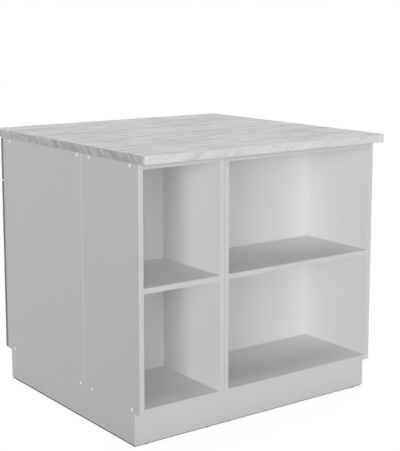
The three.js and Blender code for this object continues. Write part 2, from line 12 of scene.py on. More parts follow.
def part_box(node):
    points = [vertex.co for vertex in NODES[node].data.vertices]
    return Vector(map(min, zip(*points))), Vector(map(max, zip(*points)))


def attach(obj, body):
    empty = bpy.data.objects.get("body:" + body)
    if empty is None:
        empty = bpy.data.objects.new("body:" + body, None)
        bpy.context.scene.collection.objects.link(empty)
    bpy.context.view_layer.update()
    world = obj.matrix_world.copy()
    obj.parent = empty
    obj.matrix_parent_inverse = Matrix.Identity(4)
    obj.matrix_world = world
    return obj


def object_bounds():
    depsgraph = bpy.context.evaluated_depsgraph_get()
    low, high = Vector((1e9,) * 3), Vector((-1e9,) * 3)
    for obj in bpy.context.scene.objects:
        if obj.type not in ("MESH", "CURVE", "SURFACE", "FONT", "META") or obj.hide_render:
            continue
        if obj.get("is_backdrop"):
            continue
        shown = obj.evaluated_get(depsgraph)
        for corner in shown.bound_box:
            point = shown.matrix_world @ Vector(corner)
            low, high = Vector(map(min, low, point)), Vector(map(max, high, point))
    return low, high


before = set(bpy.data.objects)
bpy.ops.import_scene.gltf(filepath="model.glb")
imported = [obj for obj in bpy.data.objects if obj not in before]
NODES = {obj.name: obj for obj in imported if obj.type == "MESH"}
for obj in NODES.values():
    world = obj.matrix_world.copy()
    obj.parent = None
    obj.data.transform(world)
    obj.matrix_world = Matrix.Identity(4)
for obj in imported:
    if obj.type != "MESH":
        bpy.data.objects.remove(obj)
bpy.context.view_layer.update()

MM = 0.001
X, Y, Z = range(3)

# Sizes that follow from the frame

open_low, open_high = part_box("wide_open_side_left")
plain_low, plain_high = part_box("narrow_open_side_right")
LEFT_FACE = open_low.x
RIGHT_FACE = plain_high.x
FRONT_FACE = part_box("narrow_base_side_left")[0].y
SEAM_FACE = open_low.y
BACK_FACE = open_high.y
CARCASS_BOTTOM = open_low.z
CARCASS_TOP = open_high.z
BOARD = plain_high.x - plain_low.x
OPEN_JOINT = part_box("narrow_open_side_left")[0].x
BASE_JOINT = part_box("wide_base_side_left")[0].x


def side_x(name, direction):
    """X of a node's side towards the direction, which is +1 or -1 along X."""
    low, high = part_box(name)
    return high.x if direction > 0 else low.x


def inner_face(panel, inward):
    """X of a side panel's face towards its cabinet, without the shelf pins that stand out of it."""
    return side_x(panel, -inward) + inward * BOARD


def srgb(red, green=None, blue=None):
    """Linear colour of an 8-bit sRGB one; one value alone is a grey."""
    values = (red, red, red) if green is None else (red, green, blue)
    parts = [value / 255 for value in values]
    linear = [p / 12.92 if p <= 0.04045 else ((p + 0.055) / 1.055) ** 2.4 for p in parts]
    return (*linear, 1.0)


# Materials. The scale of a noise is in cells per metre.

MASK_EDGE = 0.05 * MM

# A wide and a narrow range round the middle of a noise; both hold most of its values
NOISE_RANGE = (0.3, 0.7)
NOISE_CORE = (0.35, 0.65)

# Ranges of a normal's part along an axis, over which one finish gives way to another
OUTER_TURN = (0.8, 0.95)
BAND_TURN = (0.4, 0.6)
JOINT_TURN = (0.3, 0.5)
RAW_TURN = (0.6, 0.8)
CORNER_TURN = (0.55, 0.85)
BACKING_TURN = (-0.98, -0.9)
UPRIGHT_TURN = (0.75, 0.95)
REAR_TURN = (0.7, 0.9)


class Graph:
    """A material's node tree, with short calls for the nodes used here."""

    def __init__(self, name):
        self.material = bpy.data.materials.new(name)
        self.material.use_nodes = True
        self.nodes = self.material.node_tree.nodes
        self.links = self.material.node_tree.links
        self.shader = self.nodes["Principled BSDF"]
        coordinates = self.nodes.new("ShaderNodeTexCoord")
        self.place = coordinates.outputs["Object"]
        self.normal = coordinates.outputs["Normal"]

    def feed(self, node, key, value):
        """Links a socket to the node's input, or sets the input to a plain value."""
        if isinstance(value, bpy.types.NodeSocket):
            self.links.new(value, node.inputs[key])
        else:
            node.inputs[key].default_value = value

    def add(self, kind, inputs, **settings):
        node = self.nodes.new("ShaderNode" + kind)
        for key, value in settings.items():
            setattr(node, key, value)
        for key, value in inputs.items():
            self.feed(node, key, value)
        return node

    def math(self, operation, first, second=0.0):
        return self.add("Math", {0: first, 1: second}, operation=operation).outputs[0]

    def separate(self, vector):
        return self.add("SeparateXYZ", {0: vector}).outputs

    def combine(self, x, y, z):
        return self.add("CombineXYZ", {0: x, 1: y, 2: z}).outputs[0]

    def step(self, value, low, high, start=0.0, end=1.0):
        """Start below low and end above high, with a smooth change between them."""
        inputs = {0: value, 1: low, 2: high, 3: start, 4: end}
        return self.add("MapRange", inputs, interpolation_type="SMOOTHSTEP").outputs[0]

    def facing(self, axis):
        """How squarely a face looks along an axis, 0 to 1, from the object's own normal."""
        return self.math("ABSOLUTE", self.separate(self.normal)[axis])

    def distance(self, axis, value):
        """How far the object's own coordinate is from the value."""
        offset = self.math("SUBTRACT", self.separate(self.place)[axis], value)
        return self.math("ABSOLUTE", offset)

    def beyond(self, axis, limit, direction):
        """1 where the object's own coordinate lies past the limit, towards the direction."""
        offset = self.math("SUBTRACT", self.separate(self.place)[axis], limit)
        return self.step(self.math("MULTIPLY", offset, direction), 0.0, MASK_EDGE)

    def noise(self, vector, scale, detail=2.0, roughness=0.5):
        inputs = {"Vector": vector, "Scale": scale, "Detail": detail, "Roughness": roughness}
        return self.add("TexNoise", inputs).outputs[0]

    def mix(self, factor, first, second):
        """Mix of two colours; 6, 7 and output 2 are the Mix node's colour sockets."""
        node = self.add("Mix", {0: factor}, data_type="RGBA")
        self.feed(node, 6, first)
        self.feed(node, 7, second)
        return node.outputs[2]

    def blend(self, factor, first, second):
        """Mix of two vectors; 4, 5 and output 1 are the Mix node's vector sockets."""
        node = self.add("Mix", {0: factor}, data_type="VECTOR")
        self.feed(node, 4, first)
        self.feed(node, 5, second)
        return node.outputs[1]

    def ramp(self, factor, stops):
        node = self.add("ValToRGB", {0: factor})
        elements = node.color_ramp.elements
        while len(elements) < len(stops):
            elements.new(0.5)
        for element, (position, color) in zip(elements, stops):
            element.position = position
            element.color = color
        return node.outputs[0]

    def bump(self, height, distance, strength):
        inputs = {"Height": height, "Distance": distance, "Strength": strength}
        self.feed(self.shader, "Normal", self.add("Bump", inputs).outputs[0])

    def set(self, **inputs):
        """Feeds the shader's inputs, with _ for the spaces in their names."""
        for key, value in inputs.items():
            self.feed(self.shader, key.replace("_", " "), value)
        return self.material


# White melamine board, its edge bands and its raw edges

WHITE_TONE = 231
# grey of the outer faces of the outer side panels, darker than the same board inside: painted shade
OUTER_SHADE_TONE = 209
BAND_TONE = 214
PLINTH_TONE = 216
# the side plinth boards, facing along X, a shade darker than the long ones: painted shade
PLINTH_SIDE_SHADE_TONE = 210
HARDBOARD_TONE = 232
HARDBOARD_EDGE_TONE = 224
SPECK = srgb(150)
SPECK_SHARE = 0.03
# dark grey of the thin joint line at an edge band, and of the painted shade in the joint between
# two cabinets
JOINT_LINE_AND_SHADE = srgb(120)
BAND_LINE_WIDTH = (0.05 * MM, 0.2 * MM)
BAND_LINE_SHARE = 0.35
JOINT_WIDTH = (1.0 * MM, 1.6 * MM)
JOINT_SHARE = 0.3
WORN_TONE = srgb(90)
WORN_SHARE = 0.25
SMOOTHER_FITTING = 0.18

CHIPS = [
    (0.0, srgb(150, 118, 82)),
    (0.5, srgb(196, 165, 124)),
    (1.0, srgb(218, 192, 152)),
]
CHIP_DUST = srgb(186, 156, 118)


def chipboard(g):
    """Raw edge of the board: pale and brown chips."""
    chips = g.add("TexVoronoi", {"Vector": g.place, "Scale": 650.0}).outputs["Color"]
    wood = g.ramp(g.separate(chips)[0], CHIPS)
    return g.mix(g.noise(g.place, scale=90.0), wood, CHIP_DUST)


def uneven_tone(g, cloud, tone):
    """The given tone, slightly uneven; it serves the board's own tones and the grey of its painted
    shade.
    """
    return g.mix(cloud, srgb(tone - 3), srgb(tone + 2, tone + 2, tone + 3))


def laminate(
    name,
    thin_axis,
    tone=WHITE_TONE,
    edge_tone=BAND_TONE,
    edge_line=None,
    raw_axis=None,
    joint=None,
    outward=0,
    fitting=None,
):
    """White melamine board; its edges, across thin_axis, have an edge band.

    edge_line is the Y of the thin joint between face and edge band, raw_axis the axis along
    which the edges are bare, joint the X of the shaded joint with the next cabinet, and
    outward, where it isn't 0, the direction along X of the outer face, which gets a greyer
    tone as painted shade.
    fitting (axis, limit, direction, color, metallic) finishes what stands past the limit as
    another material.
    """
    g = Graph(name)
    cloud = g.noise(g.place, scale=3.0, detail=3.0)
    grain = g.noise(g.place, scale=1400.0, roughness=0.6)
    color = uneven_tone(g, cloud, tone)
    # painted shade: the face towards the outside of the island gets the greyer tone
    if outward:
        outside = g.math("MULTIPLY", g.separate(g.normal)[X], outward)
        color = g.mix(g.step(outside, *OUTER_TURN), color, uneven_tone(g, cloud, OUTER_SHADE_TONE))
    color = g.mix(g.step(grain, *NOISE_CORE, start=0.0, end=SPECK_SHARE), color, SPECK)
    edge = g.math("SUBTRACT", 1.0, g.step(g.facing(thin_axis), *BAND_TURN))
    band = g.mix(g.noise(g.place, scale=240.0), srgb(edge_tone - 2), srgb(edge_tone + 2))
    color = g.mix(edge, color, band)
    if edge_line is not None:
        line = g.step(g.distance(Y, edge_line), *BAND_LINE_WIDTH, start=BAND_LINE_SHARE, end=0.0)
        color = g.mix(line, color, JOINT_LINE_AND_SHADE)
    # painted shade in the joint with the next cabinet, on the faces that look along Y
    if joint is not None:
        near = g.step(g.distance(X, joint), *JOINT_WIDTH, start=JOINT_SHARE, end=0.0)
        ahead = g.step(g.facing(Y), *JOINT_TURN)
        color = g.mix(g.math("MULTIPLY", ahead, near), color, JOINT_LINE_AND_SHADE)
    if raw_axis is not None:
        color = g.mix(g.step(g.facing(raw_axis), *RAW_TURN), color, chipboard(g))
    g.bump(grain, distance=0.03 * MM, strength=0.5)
    rough = g.step(cloud, *NOISE_RANGE, start=0.5, end=0.58)
    metal = 0.0
    if fitting is not None:
        axis, limit, direction, fitting_color, metallic = fitting
        there = g.beyond(axis, limit, direction)
        worn = g.mix(g.noise(g.place, scale=500.0), fitting_color, WORN_TONE)
        color = g.mix(there, color, g.mix(WORN_SHARE, fitting_color, worn))
        rough = g.math("SUBTRACT", rough, g.math("MULTIPLY", there, SMOOTHER_FITTING))
        metal = there if metallic else 0.0
    return g.set(Base_Color=color, Roughness=rough, Metallic=metal, Specular_IOR_Level=0.35)


# Marble film of the worktop

MARBLE_TONES = [
    (0.30, srgb(172)),
    (0.41, srgb(204)),
    (0.50, srgb(222)),
    (0.59, srgb(233)),
    (0.70, srgb(243)),
]
MARBLE_LEVEL = 0.49
STREAK_SHARE = 0.66
TOP_CONTRAST = 1.1
BACK_CONTRAST = 0.5
SIDE_CONTRAST = 0.95
# painted light and shade: the edges facing along Y a little lighter, those facing along X darker
BACK_PAINTED_LIGHT = 0.02
SIDE_PAINTED_SHADE = 0.13
VEIN = srgb(168, 168, 170)
VEIN_SHARE = 0.65
VEIN_WIDTH = 0.03
VEIN_CLOUDS = (0.46, 0.6)
GRIT = srgb(130)
GRIT_SHARE = 0.05
BACKING = (srgb(150, 141, 128), srgb(166, 157, 143))


def marble_top(name):
    """Postformed marble film: wavy streaks along X above, slanted strokes on the edges."""
    g = Graph(name)
    x, y, z = g.separate(g.place)

    def stroke(first, second, degrees, share, size, seed):
        """Places along and across a stroke that rises by the angle; along is shortened."""
        run = math.cos(math.radians(degrees)) / size
        rise = math.sin(math.radians(degrees)) / size
        along = g.math("ADD", g.math("MULTIPLY", first, run), g.math("MULTIPLY", second, rise))
        level = g.math("MULTIPLY", second, run)
        across = g.math("SUBTRACT", level, g.math("MULTIPLY", first, rise))
        return g.combine(g.math("MULTIPLY", along, share), across, seed)

    def warped(vector, scale, reach):
        """The vector, moved by up to about reach by a slow noise."""
        slow = {"Vector": vector, "Scale": scale, "Detail": 3.0}
        drift = g.add("TexNoise", slow).outputs["Color"]
        middle = {0: drift, 1: (0.5, 0.5, 0.5)}
        half = g.add("VectorMath", middle, operation="SUBTRACT").outputs[0]
        far = g.add("VectorMath", {0: half, "Scale": 2 * reach}, operation="SCALE").outputs[0]
        return g.add("VectorMath", {0: vector, 1: far}, operation="ADD").outputs[0]

    leftward = g.math("MULTIPLY", x, -1.0)
    downward = g.math("MULTIPLY", z, -1.0)
    above = stroke(x, y, degrees=5, share=0.18, size=1.0, seed=0.0)
    back = stroke(leftward, z, degrees=26, share=0.26, size=1.3, seed=3.7)
    side = stroke(y, downward, degrees=38, share=0.22, size=0.62, seed=7.1)
    on_back = g.step(g.facing(Y), *CORNER_TURN)
    on_side = g.step(g.facing(X), *CORNER_TURN)
    flow = g.blend(on_side, g.blend(on_back, above, back), side)

    bent = warped(flow, scale=6.0, reach=0.045)
    bent = warped(bent, scale=15.0, reach=0.016)
    clouds = g.noise(bent, scale=9.0)
    streaks = g.noise(bent, scale=42.0, detail=5.0, roughness=0.64)
    body = g.math("MULTIPLY", streaks, STREAK_SHARE)
    body = g.math("ADD", body, g.math("MULTIPLY", clouds, 1 - STREAK_SHARE))
    contrast = g.step(on_back, 0.0, 1.0, start=TOP_CONTRAST, end=BACK_CONTRAST)
    more = g.math("MULTIPLY", on_side, SIDE_CONTRAST - TOP_CONTRAST)
    contrast = g.math("ADD", contrast, more)
    body = g.math("MULTIPLY", g.math("SUBTRACT", body, 0.5), contrast)
    # painted light on the edges facing along Y and painted shade on those facing along X
    painted_light = g.math("MULTIPLY", on_back, BACK_PAINTED_LIGHT)
    shade = g.math("SUBTRACT", painted_light, g.math("MULTIPLY", on_side, SIDE_PAINTED_SHADE))
    body = g.math("ADD", g.math("ADD", body, MARBLE_LEVEL), shade)
    color = g.ramp(body, MARBLE_TONES)

    ridge = g.math("SUBTRACT", g.noise(bent, scale=30.0, detail=4.0, roughness=0.6), 0.5)
    vein = g.step(g.math("ABSOLUTE", ridge), 0.0, VEIN_WIDTH, start=VEIN_SHARE, end=0.0)
    where = g.math("MULTIPLY", g.step(clouds, *VEIN_CLOUDS), contrast)
    color = g.mix(g.math("MULTIPLY", vein, where), color, VEIN)
    grit = g.noise(g.place, scale=1100.0)
    color = g.mix(g.step(grit, *NOISE_RANGE, start=0.0, end=GRIT_SHARE), color, GRIT)
    under = g.step(g.separate(g.normal)[Z], *BACKING_TURN, start=1.0, end=0.0)
    color = g.mix(under, color, g.mix(g.noise(g.place, scale=60.0, detail=4.0), *BACKING))
    relief = g.math("ADD", grit, g.math("MULTIPLY", streaks, 0.5))
    g.bump(relief, distance=0.05 * MM, strength=0.5)
    rough = g.step(streaks, *NOISE_CORE, start=0.5, end=0.58)
    return g.set(Base_Color=color, Roughness=rough, Specular_IOR_Level=0.25)


# Film of the doors and the drawer front

FILM = (srgb(173, 168, 161), srgb(179, 173, 167))
FILM_PORE = srgb(120, 114, 108)
PORE_SHARE = 0.05
# colour and share of the painted shade on the upright edges of the fronts
UPRIGHT_EDGE_SHADE = srgb(114, 110, 105)
UPRIGHT_SHADE_SHARE = 0.95
REAR_DECOR = (srgb(205), srgb(210))


def front_film(name):
    """Greige matt film with painted shade on the upright edges, and white melamine on the rear
    face.
    """
    g = Graph(name)
    cloud = g.noise(g.place, scale=4.0, detail=3.0)
    peel = g.noise(g.place, scale=420.0, detail=3.0, roughness=0.55)
    color = g.mix(cloud, *FILM)
    color = g.mix(g.step(peel, *NOISE_RANGE, start=0.0, end=PORE_SHARE), color, FILM_PORE)
    # painted shade on the edges that face along X
    upright = g.step(g.facing(X), *UPRIGHT_TURN, start=0.0, end=UPRIGHT_SHADE_SHARE)
    color = g.mix(upright, color, UPRIGHT_EDGE_SHADE)
    rear = g.step(g.separate(g.normal)[Y], *REAR_TURN)
    color = g.mix(rear, color, g.mix(cloud, *REAR_DECOR))
    g.bump(peel, distance=0.06 * MM, strength=0.6)
    rough = g.step(peel, *NOISE_RANGE, start=0.5, end=0.6)
    return g.set(Base_Color=color, Roughness=rough)


# Metals and plastics


def painted(name, low, high, rough, scale=600.0, depth=0.04 * MM, fitting=None, gloss=0.5):
    """Powder coat or plastic: a fine pebbled skin between two close tones.

    fitting (axis, limit, direction, color) colours what stands past the limit.
    """
    g = Graph(name)
    pebble = g.noise(g.place, scale, detail=3.0, roughness=0.6)
    color = g.mix(g.step(pebble, *NOISE_RANGE), low, high)
    if fitting is not None:
        axis, limit, direction, fitting_color = fitting
        color = g.mix(g.beyond(axis, limit, direction), color, fitting_color)
    g.bump(pebble, depth, strength=0.6)
    patches = g.noise(g.place, scale=25.0, detail=3.0)
    roughness = g.step(patches, *NOISE_RANGE, *rough)
    return g.set(Base_Color=color, Roughness=roughness, Specular_IOR_Level=gloss)


def bright_metal(name, tone, rough):
    """Nickel-plated steel with faint drawing lines along Y."""
    g = Graph(name)
    stretch = {"Vector": g.place, "Scale": (900.0, 30.0, 900.0)}
    streak = g.noise(g.add("Mapping", stretch).outputs[0], scale=1.0, detail=3.0)
    color = g.mix(streak, srgb(tone - 12), srgb(tone + 8))
    g.bump(streak, distance=0.01 * MM, strength=0.5)
    roughness = g.step(streak, *NOISE_RANGE, *rough)
    return g.set(Base_Color=color, Roughness=roughness, Metallic=1.0)


EDGE_LINE = 0.8 * MM
BACK_LINE = BACK_FACE - EDGE_LINE
FRONT_LINE = FRONT_FACE + EDGE_LINE
GLIDE_HEIGHT = 4 * MM
DRAWER_SHEET = 1.2 * MM
RAIL_DEPTH = 7.8 * MM
RUNNER_ROLLER_REACH = 4.8 * MM
PIN_SEAT = 0.1 * MM
NEAR_OUTSIDE = 1 * MM

PIN_METAL = srgb(188, 188, 186)
GLIDE_PLASTIC = srgb(58)
NYLON = srgb(226, 225, 220)
STEEL_TONES = (srgb(176, 178, 180), srgb(188, 190, 192))
STEEL_ROUGHNESS = (0.35, 0.45)
GLIDES = (Z, GLIDE_HEIGHT, -1, GLIDE_PLASTIC, False)


def outer_side(name):
    """The direction along X of an outer side of the island, or 0 for a panel between cabinets."""
    if side_x(name, 1) > RIGHT_FACE - NEAR_OUTSIDE:
        return 1
    return -1 if side_x(name, -1) < LEFT_FACE + NEAR_OUTSIDE else 0


def side_panel(name, edge_line, joint, fitting=None):
    return laminate(
        name + "_board",
        X,
        edge_line=edge_line,
        raw_axis=Z,
        joint=joint,
        outward=outer_side(name),
        fitting=fitting,
    )


def open_panel(name):
    """An open unit's side panel, with its edge band at the back."""
    return side_panel(name, BACK_LINE, OPEN_JOINT)


def pinned_panel(name):
    """A base cabinet's side panel; what stands out past its board are the shelf pins."""
    inward = 1 if name.endswith("left") else -1
    limit = inner_face(name, inward) + inward * PIN_SEAT
    return side_panel(name, FRONT_LINE, BASE_JOINT, (X, limit, inward, PIN_METAL, True))


def rolling_steel(name):
    """Folded drawer steel with its nylon roller, which stands out on one side."""
    inward = 1 if name.endswith("left") else -1
    outer = side_x(name, -inward)
    if "rail" in name:
        roller = (X, outer + inward * RAIL_DEPTH, inward, NYLON)
    else:
        roller = (X, outer + inward * RUNNER_ROLLER_REACH, -inward, NYLON)
    return painted(name + "_steel", *STEEL_TONES, rough=STEEL_ROUGHNESS, fitting=roller)


back_level = laminate("white_board_back_level", Z, edge_line=BACK_LINE)
front_level = laminate("white_board_front_level", Z, edge_line=FRONT_LINE)
crosswise = laminate("white_board_crosswise", Y)
hardboard = laminate("white_hardboard", Y, HARDBOARD_TONE, HARDBOARD_EDGE_TONE)
plinth_long = laminate("plinth_board_long", Y, PLINTH_TONE, fitting=GLIDES)
plinth_side = laminate("plinth_board_side", X, PLINTH_SIDE_SHADE_TONE, fitting=GLIDES)
marble = marble_top("marble_worktop")
greige = front_film("greige_front_film")
black = painted("black_powder_coat", srgb(14), srgb(24), rough=(0.5, 0.6), scale=900.0, gloss=0.3)
nickel = bright_metal("nickel_plate", 196, rough=(0.2, 0.34))
screw_steel = bright_metal("zinc_screw", 184, rough=(0.28, 0.4))
bracket_steel = painted("bracket_steel", *STEEL_TONES, rough=STEEL_ROUGHNESS)
cap_plastic = painted(
    "white_cap_plastic",
    srgb(246),
    srgb(250),
    rough=(0.14, 0.2),
    scale=300.0,
    depth=0.01 * MM,
)
soft_plastic = painted(
    "soft_bumper_plastic",
    srgb(214, 215, 212),
    srgb(224),
    rough=(0.18, 0.26),
    scale=300.0,
    depth=0.01 * MM,
)

# The first key that is part of a node's name gives its material, or the function that makes it
KINDS = [
    ("worktop", marble),
    ("plinth_side", plinth_side),
    ("plinth", plinth_long),
    ("_handle", black),
    ("_hinge_", nickel),
    ("_door", greige),
    ("drawer_front", greige),
    ("drawer_side", rolling_steel),
    ("drawer_rail", rolling_steel),
    ("drawer_back", crosswise),
    ("drawer_bottom", front_level),
    ("open_side", open_panel),
    ("open_back", crosswise),
    ("open_", back_level),
    ("base_side", pinned_panel),
    ("base_back", hardboard),
    ("base_", front_level),
]
for node_name, node in NODES.items():
    surface = next(material for key, material in KINDS if key in node_name)
    node.data.materials.clear()
    node.data.materials.append(surface(node_name) if callable(surface) else surface)


# Finish of the CAD meshes: joined corners, soft arrises, smooth rounds

JOIN_DISTANCE = 0.01 * MM
FLAT_BELOW = math.radians(0.5)
SMOOTH_BELOW = math.radians(35)
ARRIS_ABOVE = math.radians(50)
ARRIS_SEGMENTS = 2
LARGE_FACES_FIRST = 100


def soft_shading():
    """Node group that joins split corners and smooths the edges between near-level faces."""
    group = bpy.data.node_groups.new("soft_shading", "GeometryNodeTree")
    for direction in ("INPUT", "OUTPUT"):
        group.interface.new_socket("Geometry", in_out=direction, socket_type="NodeSocketGeometry")
    nodes = group.nodes
    links = group.links
    given = nodes.new("NodeGroupInput")
    result = nodes.new("NodeGroupOutput")
    join = nodes.new("GeometryNodeMergeByDistance")
    join.inputs["Distance"].default_value = JOIN_DISTANCE
    bare = nodes.new("GeometryNodeRemoveAttribute")
    bare.inputs["Name"].default_value = "custom_normal"
    faces = nodes.new("GeometryNodeSetShadeSmooth")
    edges = nodes.new("GeometryNodeSetShadeSmooth")
    edges.domain = "EDGE"
    angle = nodes.new("GeometryNodeInputMeshEdgeAngle")
    gentle = nodes.new("FunctionNodeCompare")
    gentle.operation = "LESS_THAN"
    gentle.inputs[1].default_value = SMOOTH_BELOW
    links.new(angle.outputs[0], gentle.inputs[0])
    links.new(gentle.outputs[0], edges.inputs["Shade Smooth"])
    previous = given
    for node in (join, bare, faces, edges, result):
        links.new(previous.outputs[0], node.inputs[0])
        previous = node
    return group


SHADING = soft_shading()


def finish_edges(node, arris):
    """Smooth rounds and, where arris isn't 0, a small rounding of the sharp edges."""
    node.modifiers.new("soft_shading", "NODES").node_group = SHADING
    flat = node.modifiers.new("flat_faces", "DECIMATE")
    flat.decimate_type = "DISSOLVE"
    flat.angle_limit = FLAT_BELOW
    if arris:
        bevel = node.modifiers.new("arris", "BEVEL")
        bevel.width = arris
        bevel.segments = ARRIS_SEGMENTS
        bevel.limit_method = "ANGLE"
        bevel.angle_limit = ARRIS_ABOVE
    weighted = node.modifiers.new("flat_normals", "WEIGHTED_NORMAL")
    weighted.weight = LARGE_FACES_FIRST
    weighted.keep_sharp = True


# The first key that is part of a node's name gives its arris
ARRISES = [
    ("worktop", 0.0),
    ("_handle", 0.0),
    ("_hinge_", 0.0),
    ("drawer_side", 0.0),
    ("drawer_rail", 0.0),
    ("_base_back", 0.3 * MM),
    ("_door", 0.4 * MM),
    ("", 0.8 * MM),
]
for node_name, node in NODES.items():
    finish_edges(node, next(arris for key, arris in ARRISES if key in node_name))


# Mesh helpers

TURN_SEGMENTS = 24
CROWN_STEPS = 5
RECESS_ARMS = 4
SMOOTH_ROUNDS = math.radians(40)


def new_piece(name, mesh, material, body):
    obj = bpy.data.objects.new(name, mesh)
    bpy.context.scene.collection.objects.link(obj)
    mesh.materials.append(material)
    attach(obj, body)


def turned_mesh(bm, profile, place):
    """Adds a closed solid of revolution about Z.

    The profile goes from axis to axis in rows of radius, height and, where the ring has four
    lobes as a cross recess has, the lobes' share of the radius.
    """
    rings = []
    for radius, height, *lobes in profile:
        if radius == 0:
            rings.append([bm.verts.new(place @ Vector((0, 0, height)))])
            continue
        share = lobes[0] if lobes else 0.0
        ring = []
        for i in range(TURN_SEGMENTS):
            angle = 2 * math.pi * i / TURN_SEGMENTS
            r = radius * (1 + share * math.cos(RECESS_ARMS * angle))
            corner = Vector((r * math.cos(angle), r * math.sin(angle), height))
            ring.append(bm.verts.new(place @ corner))
        rings.append(ring)
    for lower, upper in zip(rings, rings[1:]):
        for i in range(TURN_SEGMENTS):
            j = (i + 1) % TURN_SEGMENTS
            a, b = lower[i % len(lower)], lower[j % len(lower)]
            c, d = upper[j % len(upper)], upper[i % len(upper)]
            corners = [v for v, w in zip((a, b, c, d), (b, c, d, a)) if v is not w]
            if len(corners) > 2:
                bm.faces.new(corners)


def mesh_from(bm, name):
    bmesh.ops.recalc_face_normals(bm, faces=bm.faces)
    mesh = bpy.data.meshes.new(name)
    bm.to_mesh(mesh)
    bm.free()
    mesh.shade_smooth()
    mesh.set_sharp_from_angle(angle=SMOOTH_ROUNDS)
    return mesh


def looking(direction, place):
    """A place whose own Z looks along the direction."""
    turn = Vector(direction).to_track_quat("Z", "Y").to_matrix().to_4x4()
    return Matrix.Translation(place) @ turn


def dome(radius, height, wall=0.25):
    """Profile of a low button: an upright wall for a share of its height, then a crown."""
    crown = []
    for i in range(CROWN_STEPS):
        angle = math.pi / 2 * i / CROWN_STEPS
        crown.append((radius * math.cos(angle), height * (wall + (1 - wall) * math.sin(angle))))
    return [(0, 0), (radius, 0), *crown, (0, height)]


def cross_head(radius, height):
    """Profile of a screw head: a crown with a cross recess in it."""
    recess = 0.42 * radius
    lobes = 0.35
    return [
        (0, 0),
        (radius, 0),
        (radius, 0.2 * height),
        (0.9 * radius, 0.62 * height),
        (0.74 * radius, 0.9 * height),
        (recess, height, lobes),
        (0.75 * recess, 0.35 * height, lobes),
        (0.3 * recess, 0.15 * height),
        (0, 0.15 * height),
    ]


def scattered(name, body, material, profile, direction, places):
    """One piece of many small turned parts that all look along the same direction."""
    bm = bmesh.new()
    for place in places:
        turned_mesh(bm, profile, looking(direction, Vector(place)))
    new_piece(name, mesh_from(bm, name), material, body)


REAR = (0, 1, 0)
DOWN = (0, 0, -1)
HEAD = cross_head(3.3 * MM, 1.2 * MM)
FLAT_HEAD = cross_head(3.2 * MM, 0.6 * MM)
FLUSH_HEAD = cross_head(3.2 * MM, 0.35 * MM)
SMALL_HEAD = cross_head(2.6 * MM, 0.8 * MM)
JOINING_HEAD = cross_head(5 * MM, 1 * MM)
CAP = dome(6 * MM, 1.3 * MM)
BUMPER = dome(4 * MM, 1.5 * MM, wall=0.4)


def screws(name, body, profile, direction, places):
    scattered(name, body, screw_steel, profile, direction, places)


def bumpers(name, body, places):
    scattered(name, body, soft_plastic, BUMPER, REAR, places)


# Screw caps on the outer side panels

CAP_ROWS = [
    FRONT_FACE + 49 * MM,
    FRONT_FACE + 484 * MM,
    SEAM_FACE + 45 * MM,
    BACK_FACE - 43 * MM,
]
CAP_LEVELS = [CARCASS_BOTTOM + BOARD / 2, CARCASS_TOP - BOARD / 2]
for side, face, direction in (("right", RIGHT_FACE, 1), ("left", LEFT_FACE, -1)):
    outward = (direction, 0, 0)
    places = [(face, y, z) for y in CAP_ROWS for z in CAP_LEVELS]
    name = "screw_caps_" + side
    scattered(name, "cabinet", cap_plastic, CAP, outward, places)

# Screws of the hinges and the pulls, and the bumpers of the doors and the drawer

CUP_SCREWS_FROM_MIDDLE = 24 * MM
CUP_SCREW_OFFSET = 6 * MM
PLATE_STEP = 1.8 * MM
PLATE_FROM_FRONT = 37 * MM
PLATE_SCREWS_FROM_MIDDLE = 18 * MM
ADJUSTER_AHEAD = 21 * MM
PULL_SCREWS_FROM_MIDDLE = 32 * MM
PULL_SCREW_DROP = 10 * MM
BUMPER_INSET = 8 * MM


def door_fittings(door, panel, inward):
    """Screws of a door's hinges, and its bumpers; inward is +1 where its -X edge is hinged."""
    low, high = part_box(door)
    y = FRONT_FACE + PLATE_FROM_FRONT
    plate_x = inner_face(panel, inward) + inward * PLATE_STEP
    cup_screws, plate_screws, arm_screws = [], [], []
    for level in ("lower", "upper"):
        cup_low, cup_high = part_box(f"{door}_hinge_cup_{level}")
        cup = (cup_low + cup_high) / 2
        x = cup.x + inward * CUP_SCREW_OFFSET
        for s in (-1, 1):
            cup_screws.append((x, cup_high.y, cup.z + s * CUP_SCREWS_FROM_MIDDLE))
            plate_screws.append((plate_x, y, cup.z + s * PLATE_SCREWS_FROM_MIDDLE))
        web = side_x(f"{door}_hinge_arm_{level}", inward)
        arm_screws += [(web, y, cup.z), (web, y - ADJUSTER_AHEAD, cup.z)]
    side = (inward, 0, 0)
    screws(door + "_cup_screws", door, HEAD, REAR, cup_screws)
    screws(door + "_plate_screws", "cabinet", HEAD, side, plate_screws)
    screws(door + "_arm_screws", "cabinet", SMALL_HEAD, side, arm_screws)
    free = side_x(door, inward) - inward * BUMPER_INSET
    levels = [low.z + BUMPER_INSET]
    if door == "narrow_door":  # the others have no board behind the top of their free edge
        levels.append(high.z - BUMPER_INSET)
    bumpers(door + "_bumpers", door, [(free, high.y, z) for z in levels])


def pull_screws(front, body):
    low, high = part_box(front + "_handle")
    middle = (low.x + high.x) / 2
    z = high.z - PULL_SCREW_DROP
    places = [(middle + s * PULL_SCREWS_FROM_MIDDLE, high.y, z) for s in (-1, 1)]
    screws(front + "_pull_screws", body, FLAT_HEAD, REAR, places)


for door, panel, inward in (
    ("narrow_door", "narrow_base_side_left", 1),
    ("left_door", "wide_base_side_left", 1),
    ("right_door", "wide_base_side_right", -1),
):
    door_fittings(door, panel, inward)
    pull_screws(door, door)
pull_screws("drawer", "drawer")

front_low, front_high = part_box("drawer_front")
columns = (front_low.x + BUMPER_INSET, front_high.x - BUMPER_INSET)
places = [(x, front_high.y, front_high.z - BUMPER_INSET) for x in columns]
bumpers("drawer_bumpers", "drawer", places)

